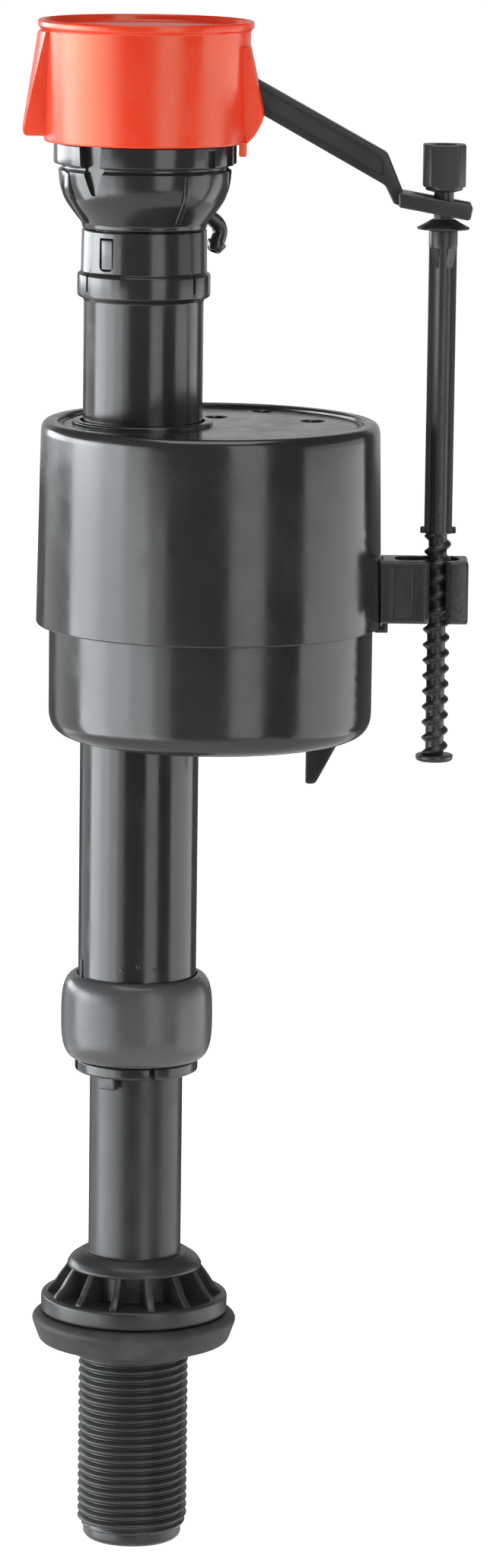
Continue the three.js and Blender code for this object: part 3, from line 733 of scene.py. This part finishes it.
def cap_base_piece():
    deck = 262.2
    base = lathe("insert", rounded([
        (0, 259.5), (19.3, 259.5, 0.4), (19.3, deck, 0.4), (2.9, deck, 0.3), (2.4, 263.0, 0.3),
        (0, 263.0)]), sides=128)
    for side in (-1, 1):
        y0, y1 = sorted((side * (LEVER_HALF + 0.4), side * (LEVER_HALF + 3.4)))
        cheek = plate("cheek", rounded([
            (PIVOT.x - 3, deck - 0.5), (PIVOT.x + 3, deck - 0.5), (PIVOT.x + 3, PIVOT.z + 3, 2.4),
            (PIVOT.x - 3, PIVOT.z + 3, 2.4)]), y0, y1, edge=0.25)
        add(base, cheek)
    hole = circle(PIVOT.x, PIVOT.z, 1.95, 40)
    cut(base, plate("pivot_hole", hole, -10, 10, edge=0))
    cut(base, disc("bleed", 0.95, 258, 266, sides=32))
    return finish_piece(base, "cap_base", "cap", GLOSS_GREY)


def cap_piece():
    cap_top = cap_high.z
    lip_r, lip_top = 22.75, cap_top + 0.2
    ear_top, ear_half = 282.4, 6
    slot_half = 3.2
    outside = lathe("cap", rounded([
        (0, CAP_BOTTOM),
        (21.4, CAP_BOTTOM, 0.5),
        (22.1, cap_top - 1.8, 0.4),
        (lip_r, cap_top - 1.3, 0.3),
        (lip_r, lip_top, 0.5),
        (21.4, lip_top, 0.4),
        (21.2, cap_top - 1.2, 0.4),
        (0, cap_top - 1.1),
    ]), sides=192)
    left_ear = plate("left_ear", rounded([
        (-17, CAP_BOTTOM + 1.2), (-17, ear_top), (-22.7, ear_top, 0.6), (-25.9, 262.0, 0.8),
        (-25.3, CAP_BOTTOM + 1.2, 0.7)]), -ear_half, ear_half, edge=0.4)
    right_ear = plate("right_ear", rounded([
        (17, CAP_BOTTOM), (21.4, CAP_BOTTOM), (23.2, 261.2, 1.2), (24.9, 264.6, 1.2),
        (25.0, 266.2, 0.8), (22.0, 279.8, 0.4), (17, 279.8)]), -ear_half, ear_half, edge=0.4)
    for ear in (left_ear, right_ear):
        for vertex in ear.data.vertices:
            rise = (vertex.co.z / MM - CAP_BOTTOM) / (cap_top - CAP_BOTTOM)
            vertex.co.y *= 0.8 + 0.8 * rise  # the ear widens upwards
        flare = lathe("flare", [(0, 250), (26.9, 256), (lip_r, ear_top), (0, ear_top)], sides=192)
        combine(ear, flare, "INTERSECT")
    hollow = lathe("hollow", rounded([
        (0, CAP_BOTTOM - 1), (19.65, CAP_BOTTOM - 1), (19.75, 260.5), (20.6, 281.0, 0.6),
        (19.4, 281.9, 0.6), (0, 282.2)]), sides=128)
    lever_slot = block("lever_slot", 12, 28, -slot_half, slot_half, CAP_BOTTOM - 1, 277)
    add(outside, left_ear, right_ear)
    cut(outside, hollow, lever_slot)
    tab = block("lock_tab", 19.8, 21.4, -7, -slot_half - 0.2, cap_low.z, CAP_BOTTOM + 0.5, edge=0.3)
    add(outside, tab)
    return finish_piece(outside, "cap_cover", "cap", CAP_RED)


# ---- Lever ----
def lever_piece():
    bar = plate("lever_bar", rounded([
        (-2.6, 268.4, 0.8), (8, 267.6, 2), (20, 267.9, 3), (50.6, 250.9, 0.7), (52.5, 247.0, 0.6),
        (54.5, 246.4), (54.5, 249.4), (51.1, 257.6, 0.8), (19, 275.2, 3), (9, 274.6, 3),
        (-2.6, 271.6, 0.8)], steps=6), -LEVER_HALF, LEVER_HALF, edge=0.4)
    for side in (-1, 1):
        y0, y1 = sorted((side * (LEVER_HALF - 0.7), side * (LEVER_HALF + 1)))
        pocket = plate("pocket", rounded([
            (20.6, 269.0, 1.5), (50.4, 252.4, 1.5), (50.1, 256.6, 1.5), (21.6, 272.5, 1.5)]),
            y0, y1, edge=0)
        cut(bar, pocket)
    fork = plate("fork", rounded([
        (53.5, 246.5), (68.6, 243.8, 0.8), (69.2, 247.0, 0.8), (53.5, 249.7)]),
        -5.5, 5.5, edge=0.45)
    slot_end, slot_half, slot_steps = 58.7, 2.5, 16
    slot_outline = [(72, -slot_half), (72, slot_half)]
    for step in range(slot_steps + 1):
        angle = math.pi / 2 + math.pi * step / slot_steps
        slot_outline.append((slot_end + slot_half * math.cos(angle), slot_half * math.sin(angle)))
    fork_slot = prism("fork_slot", slot_outline, 240, 255, edge=0)
    axle_half = LEVER_HALF + 2.9
    axle = plate("axle", circle(PIVOT.x, PIVOT.z, 1.6, 40), -axle_half, axle_half, edge=0.2)
    cut(fork, fork_slot)
    add(bar, fork, axle)
    cut(bar, disc("pad_socket", 2.1, 266, 270.2, sides=40))
    return finish_piece(bar, "lever", "lever", MATT_BLACK)


def pad_piece():
    piece = lathe("pad", rounded([
        (0, 265.5), (1.8, 265.5, 0.3), (1.8, 269.9, 0.3), (0, 269.9)]), sides=48)
    return finish_piece(piece, "pilot_pad", "lever", RUBBER)


# ---- Adjusting rod ----
def rod_piece():
    knob_low, knob_high = 249.8, rod_high.z
    half, chamfer = 4.5, 1.55
    knob_outline = rounded([
        (half, -half + chamfer, 0.3), (half, half - chamfer, 0.3), (half - chamfer, half, 0.3),
        (-half + chamfer, half, 0.3), (-half, half - chamfer, 0.3), (-half, -half + chamfer, 0.3),
        (-half + chamfer, -half, 0.3), (half - chamfer, -half, 0.3)])
    knob = prism("knob", knob_outline, knob_low + 0.9, knob_high, x=ROD_X, edge=0.3)
    under = lathe("knob_taper", rounded([
        (0, knob_low - 0.3), (2.4, knob_low - 0.3, 0.2), (3.9, knob_low + 0.1, 0.3),
        (4.1, knob_low + 1.2), (0, knob_low + 1.2)]), sides=64, x=ROD_X)
    neck = lathe("neck", rounded([
        (0, SHAFT_TOP - 1), (2.1, SHAFT_TOP - 1), (2.1, knob_low + 1), (0, knob_low + 1)]),
        sides=64, x=ROD_X)
    add(knob, under, neck)
    cut(knob, lathe("well", rounded([
        (0, knob_high - 6), (2.6, knob_high - 6, 0.5), (2.6, knob_high + 0.4), (0, knob_high + 0.4)]),
        sides=64, x=ROD_X))
    collar = lathe("collar", rounded([
        (0, 237.6), (2.95, 237.6, 0.2), (3.05, 238.4, 0.3), (3.05, SHAFT_TOP, 0.3), (0, SHAFT_TOP)]),
        sides=64, x=ROD_X)
    core = lathe("shaft_core", [(0, ROD_THREAD_TOP), (2.05, ROD_THREAD_TOP), (2.05, 238), (0, 238)],
                 sides=48, x=ROD_X)
    blades = []
    for turn in (0, 90, 180, 270):
        blade = plate("blade", rounded([
            (0.5, ROD_THREAD_TOP), (2.95, ROD_THREAD_TOP, 0.5), (2.95, 238.4), (0.5, 238.4)]),
            -0.8, 0.8, turn, edge=0.22)
        blades.append(shift_piece(blade, ROD_X))
    ramps = []
    for turn in (45, 135, 225, 315):
        ramp = plate("ramp", rounded([
            (1, 233.6), (2.1, 233.6), (2.75, 238.2), (1, 238.2)]), -1.2, 1.2, turn, edge=0)
        ramps.append(shift_piece(ramp, ROD_X))
    shaft = add(collar, core, *blades, *ramps)
    nub_low, nub_high, nub_reach = 177.0, 178.4, 3.8
    nubs = plate("nubs", rounded([
        (ROD_X - nub_reach, nub_low, 0.35), (ROD_X + nub_reach, nub_low, 0.35),
        (ROD_X + nub_reach, nub_high, 0.35), (ROD_X - nub_reach, nub_high, 0.35)]),
        -0.7, 0.7, edge=0.25)
    add(shaft, nubs)
    end_z = rod_low.z
    thread_core = lathe("thread_core", [
        (0, end_z + 0.5), (1.9, end_z + 0.5), (1.9, ROD_THREAD_TOP + 1), (0, ROD_THREAD_TOP + 1)],
        sides=48, x=ROD_X)
    profile = [(0.0, 0.0), (0.2, 0.0), (0.38, 0.0), (0.44, 0.10), (0.62, 0.88), (0.68, 1.0),
               (0.74, 1.0), (0.80, 0.88), (0.96, 0.10)]
    helix = screw("rod_thread", 1.95, 2.85, ROD_PITCH, end_z + 0.9, ROD_THREAD_TOP + 0.4, profile,
                  sides=72, x=ROD_X, fade=0.6)
    end_disc = lathe("end_disc", rounded([
        (0, end_z), (3.7, end_z, 0.3), (4.0, end_z + 0.6, 0.3), (4.0, end_z + 1.4, 0.3),
        (0, end_z + 1.5)]), sides=64, x=ROD_X)
    piece = merge("rod", knob, shaft, thread_core, helix, end_disc)
    return finish_piece(piece, "adjusting_rod", "adjusting_rod", MATT_BLACK)


def rod_clip_piece():
    z0 = SHAFT_TOP + GAP
    bore = 2.4
    clip = lathe("clip_ring", rounded([
        (bore, z0 + 0.4), (3.4, z0 + 0.75, 0.3), (5.45, z0 - 0.2, 0.15), (5.6, z0 + 0.2, 0.15),
        (3.5, z0 + 1.3, 0.5), (bore, z0 + 2.0, 0.2)]), sides=96, x=ROD_X)
    cut(clip, block("clip_gap", ROD_X - 1.8, ROD_X + 1.8, 0.5, 8, z0 - 1, z0 + 3))
    return finish_piece(clip, "rod_clip", "rod_clip", MATT_BLACK)


# ---- Float ----
def float_cover_piece():
    wall = 1.1
    deck_under = COVER_DECK - 1.5
    skirt_r, top_r = 36.8, 36.0
    hub_low = 166
    outside = lathe("cover", rounded([
        (0, FLOAT_STEP),
        (skirt_r, FLOAT_STEP, 0.5),
        (top_r, FLOAT_TOP, 2.6),
        (32.5, FLOAT_TOP, 0.7),
        (32.4, COVER_DECK - 0.3, 0.3),
        (31.3, COVER_DECK - 0.3, 0.3),
        (31.1, COVER_DECK, 0.3),
        (0, COVER_DECK),
    ], steps=6), sides=224, x=FLOAT_X)
    inside = lathe("cover_inside", rounded([
        (0, FLOAT_STEP - 1), (skirt_r - wall, FLOAT_STEP - 1), (35.9 - wall, deck_under, 1.2),
        (0, deck_under)]), sides=160, x=FLOAT_X)
    cut(outside, inside)
    hub = ring("hub", 12.5, 15.0, hub_low, FLOAT_TOP, edge=0.4, sides=128)
    add(outside, hub)
    cut(outside, disc("guide_bore", GUIDE_BORE_R, 150, FLOAT_TOP + 2, sides=128))
    holes = ((25.8, 25.4, 2.6), (36.2, 8.3, 2.6), (15.6, 13.6, 2.4), (4.0, 24.5, 3.8),
             (-5.0, 19.5, 3.8))
    for x, y, radius in holes:
        drain = lathe("drain", rounded([
            (0, COVER_DECK - 3), (radius, COVER_DECK - 3), (radius, COVER_DECK - 0.2, 0.2),
            (radius + 0.3, COVER_DECK + 0.1), (radius + 0.3, COVER_DECK + 1), (0, COVER_DECK + 1)]),
            sides=64, x=x, y=y)
        cut(outside, drain)
    return finish_piece(outside, "float_cover", "float", GLOSS_GREY)


def float_cup_piece():
    wall = 1.4
    top = 165.5
    outside = lathe("cup", rounded([
        (0, FLOAT_BOTTOM), (CUP_R, FLOAT_BOTTOM, 5.5), (CUP_R, top, 0.3), (0, top)], steps=8),
        sides=192, x=CUP_X)
    inside = lathe("cup_inside", rounded([
        (0, FLOAT_BOTTOM + wall), (CUP_R - wall, FLOAT_BOTTOM + wall, 4.3), (CUP_R - wall, top + 1),
        (0, top + 1)], steps=8), sides=160, x=CUP_X)
    cut(outside, inside)
    add(outside, disc("cup_sleeve", 14.9, FLOAT_BOTTOM + 0.5, top, sides=128))
    fin = plate("fin", rounded([
        (35.6, FLOAT_BOTTOM + 0.8), (35.6, cup_low.z + 0.1, 0.6), (37.7, cup_low.z, 0.9),
        (42.4, 131.4, 0.6), (42.4, FLOAT_BOTTOM + 0.8)]), -1, 1, edge=0.25)
    add(outside, fin)
    cut(outside, disc("guide_bore", GUIDE_BORE_R, FLOAT_BOTTOM - 1, top + 1, sides=128))
    return finish_piece(outside, "float_cup", "float", GLOSS_GREY)


def bracket_piece():
    x0, x1 = 51.4, bracket_high.x
    z0, z1 = 158.2, bracket_high.z
    body = block("arm", x0 - 3, x1, -6, 5.5, z0, z1, edge=0.6)
    wall = lathe("cover_wall", [(0, z0 - 3), (37.1, z0 - 3), (37.1, z1 + 2), (0, z1 + 2)],
                 sides=192, x=FLOAT_X)
    channel = disc("channel", 4.7, z0 - 1, z1 + 1, sides=64, x=ROD_X)
    mouth = prism("mouth", rounded([(-1.7, -2), (-1.7, -4.9, 0.6), (-3.2, -6.4), (-3.2, -9), (3.2, -9),
                                    (3.2, -6.4), (1.7, -4.9, 0.6), (1.7, -2)]), z0 - 1, z1 + 1,
                  x=ROD_X, edge=0)
    slot = prism("slot", rounded([(54, -3.2, 2.4), (60.4, -3.2, 2.4), (60.4, 3.2, 2.4),
                                  (54, 3.2, 2.4)]), z1 - 2, z1 + 1, edge=0)
    cut(body, wall, channel, mouth, slot)
    for x in (53.4, 57.4):
        cut(body, block("groove", x, x + 0.6, -7, -5.7, z0 + 1.4, z1 - 1.4))
    hook = block("hook", 49.8, 52.2, -3, 3, FLOAT_STEP - 1.3, FLOAT_STEP - GAP, edge=0.3)
    stem = block("hook_stem", 51.5, 52.7, -3, 3, FLOAT_STEP - 1.3, z0 + 1, edge=0.3)
    add(body, stem, hook)
    return finish_piece(body, "float_bracket", "float", MATT_BLACK)


def nut_clip_piece():
    z0, z1 = 158.8, bracket_high.z - 0.6
    clip = ring("nut_clip", 3.05, 4.4, z0, z1, edge=0.3, sides=64, x=ROD_X)
    cut(clip, prism("clip_mouth", [(-2.2, -0.5), (-2.6, -8), (2.6, -8), (2.2, -0.5)], z0 - 1, z1 + 1,
                    x=ROD_X, edge=0))
    return finish_piece(clip, "rod_nut_clip", "float", MATT_BLACK)


# ---- Studio ----
def studio():
    """Round pale floor that curves up into a low wall, far behind every view's camera."""
    floor_z = SHANK_END - 0.02
    radius, height, bend, steps = 12000, 4500, 1500, 12
    inner_radius = 3000
    profile = [(0, floor_z), (inner_radius, floor_z), (radius - bend, floor_z)]
    for step in range(1, steps + 1):
        angle = math.pi / 2 * step / steps
        profile.append((radius - bend + bend * math.sin(angle), floor_z + bend - bend * math.cos(angle)))
    profile.append((radius, floor_z + height))
    sides = 96
    vertices = [(0, 0, floor_z)]
    for distance, z in profile[1:]:
        for side in range(sides):
            angle = math.tau * side / sides
            vertices.append((distance * math.cos(angle), distance * math.sin(angle), z))
    faces = [[0, 1 + side, 1 + (side + 1) % sides] for side in range(sides)]
    for row in range(len(profile) - 2):
        for side in range(sides):
            start, after = 1 + row * sides, (side + 1) % sides
            faces.append([start + side, start + sides + side, start + sides + after, start + after])
    mesh = bpy.data.meshes.new("sweep")
    mesh.from_pydata([Vector(vertex) * MM for vertex in vertices], [], faces)
    mesh.shade_smooth()
    sweep = linked("sweep", mesh)
    material = bpy.data.materials.new("paper")
    material.use_nodes = True
    shader = material.node_tree.nodes["Principled BSDF"]
    shader.inputs["Base Color"].default_value = (0.6, 0.6, 0.6, 1)
    shader.inputs["Roughness"].default_value = 0.9
    shader.inputs["Specular IOR Level"].default_value = 0.1
    shader.inputs["Emission Color"].default_value = (1, 1, 1, 1)
    shader.inputs["Emission Strength"].default_value = 0.86
    sweep.data.materials.append(material)
    sweep.visible_glossy = False

    world = bpy.data.worlds.new("soft_room")
    world.use_nodes = True
    background = world.node_tree.nodes["Background"]
    background.inputs["Color"].default_value = (1.0, 1.0, 1.0, 1)
    background.inputs["Strength"].default_value = 0.12
    bpy.context.scene.world = world
    bpy.context.scene.view_settings.view_transform = "Standard"


def softbox(name, azimuths, radiance, height=1100, elevation=8, distance=1000, aim=150,
            colour=(1, 1, 1)):
    """Area light between two compass angles: 0 is in front of the object, positive to its right.

    Its brightness is a radiance, so a wider or nearer light keeps the same look in a reflection.
    """
    turn = math.radians(sum(azimuths) / 2)
    half = math.radians(azimuths[1] - azimuths[0]) / 2
    lift = math.radians(elevation)
    width = 2 * distance * math.tan(half)
    target = Vector((10, 0, aim))
    away = Vector((math.sin(turn) * math.cos(lift), -math.cos(turn) * math.cos(lift), math.sin(lift)))
    light = bpy.data.lights.new(name, "AREA")
    light.shape = "RECTANGLE"
    light.size = width * MM
    light.size_y = height * MM
    light.energy = radiance * math.pi * width * height * MM ** 2
    light.color = colour
    lamp = bpy.data.objects.new(name, light)
    lamp.location = (target + away * distance) * MM
    lamp.rotation_euler = away.to_track_quat("Z", "Y").to_euler()
    lamp.visible_camera = False
    bpy.context.scene.collection.objects.link(lamp)


def camera():
    """Camera in front of the object, tipped down and rolled slightly as in the photograph."""
    tip, roll = 9.865, 0.726
    data = bpy.data.cameras.new("camera")
    data.lens = 148.8
    data.sensor_width = 36
    data.sensor_fit = "AUTO"
    data.clip_end = 60
    view = bpy.data.objects.new("camera", data)
    view.location = Vector((22.4, -1366.8, 360)) * MM
    view.rotation_euler = (
        Matrix.Rotation(math.radians(90 - tip), 4, "X") @ Matrix.Rotation(math.radians(roll), 4, "Z")
    ).to_euler()
    bpy.context.scene.collection.objects.link(view)
    bpy.context.scene.camera = view


camera()
studio()
COOL = (0.95, 1.0, 1.02)
LOW = {"elevation": 0, "aim": -130, "height": 540}  # lights the tubes' and the float's sides
HIGH = {"elevation": 0, "aim": 250, "height": 220}  # lights the valve head and the cap
# The left side's reflection fades from edge to edge: start angle, end angle, radiance.
for level, strips in (
    (LOW, ((-142, -104, 0.8), (-104, -78, 6.2), (-78, -58, 4.9), (-58, -40, 3.5), (-40, -28, 1.5))),
    (HIGH, ((-142, -104, 7.5), (-104, -78, 11.0), (-78, -58, 6.4), (-58, -42, 2.4))),
):
    for start, end, radiance in strips:
        softbox("left_strip", (start, end), radiance, colour=COOL, **level)
softbox("front_right", (14, 38), 1.9)
softbox("right_low", (66, 128), 1.9, **LOW)
softbox("right_high", (66, 128), 0.9, **HIGH)
softbox("back_card", (145, 215), 0.45, height=700, elevation=10, distance=1300)
softbox("top_box", (-22, 22), 2.8, height=900, elevation=80, distance=1100)
softbox("floor_card", (-65, 65), 0.85, height=1800, elevation=-89, distance=420, aim=100)

shank_piece()
washer_piece()
riser_piece()
lock_ring_piece()
inner_pipe_piece()
seal_ring_piece("pipe_o_ring_lower", SEAL_LEVELS[0])
seal_ring_piece("pipe_o_ring_upper", SEAL_LEVELS[1])
bowl_piece()
diaphragm_piece()
pin_piece()
cap_base_piece()
cap_piece()
lever_piece()
pad_piece()
rod_piece()
rod_clip_piece()
float_cover_piece()
float_cup_piece()
bracket_piece()
nut_clip_piece()
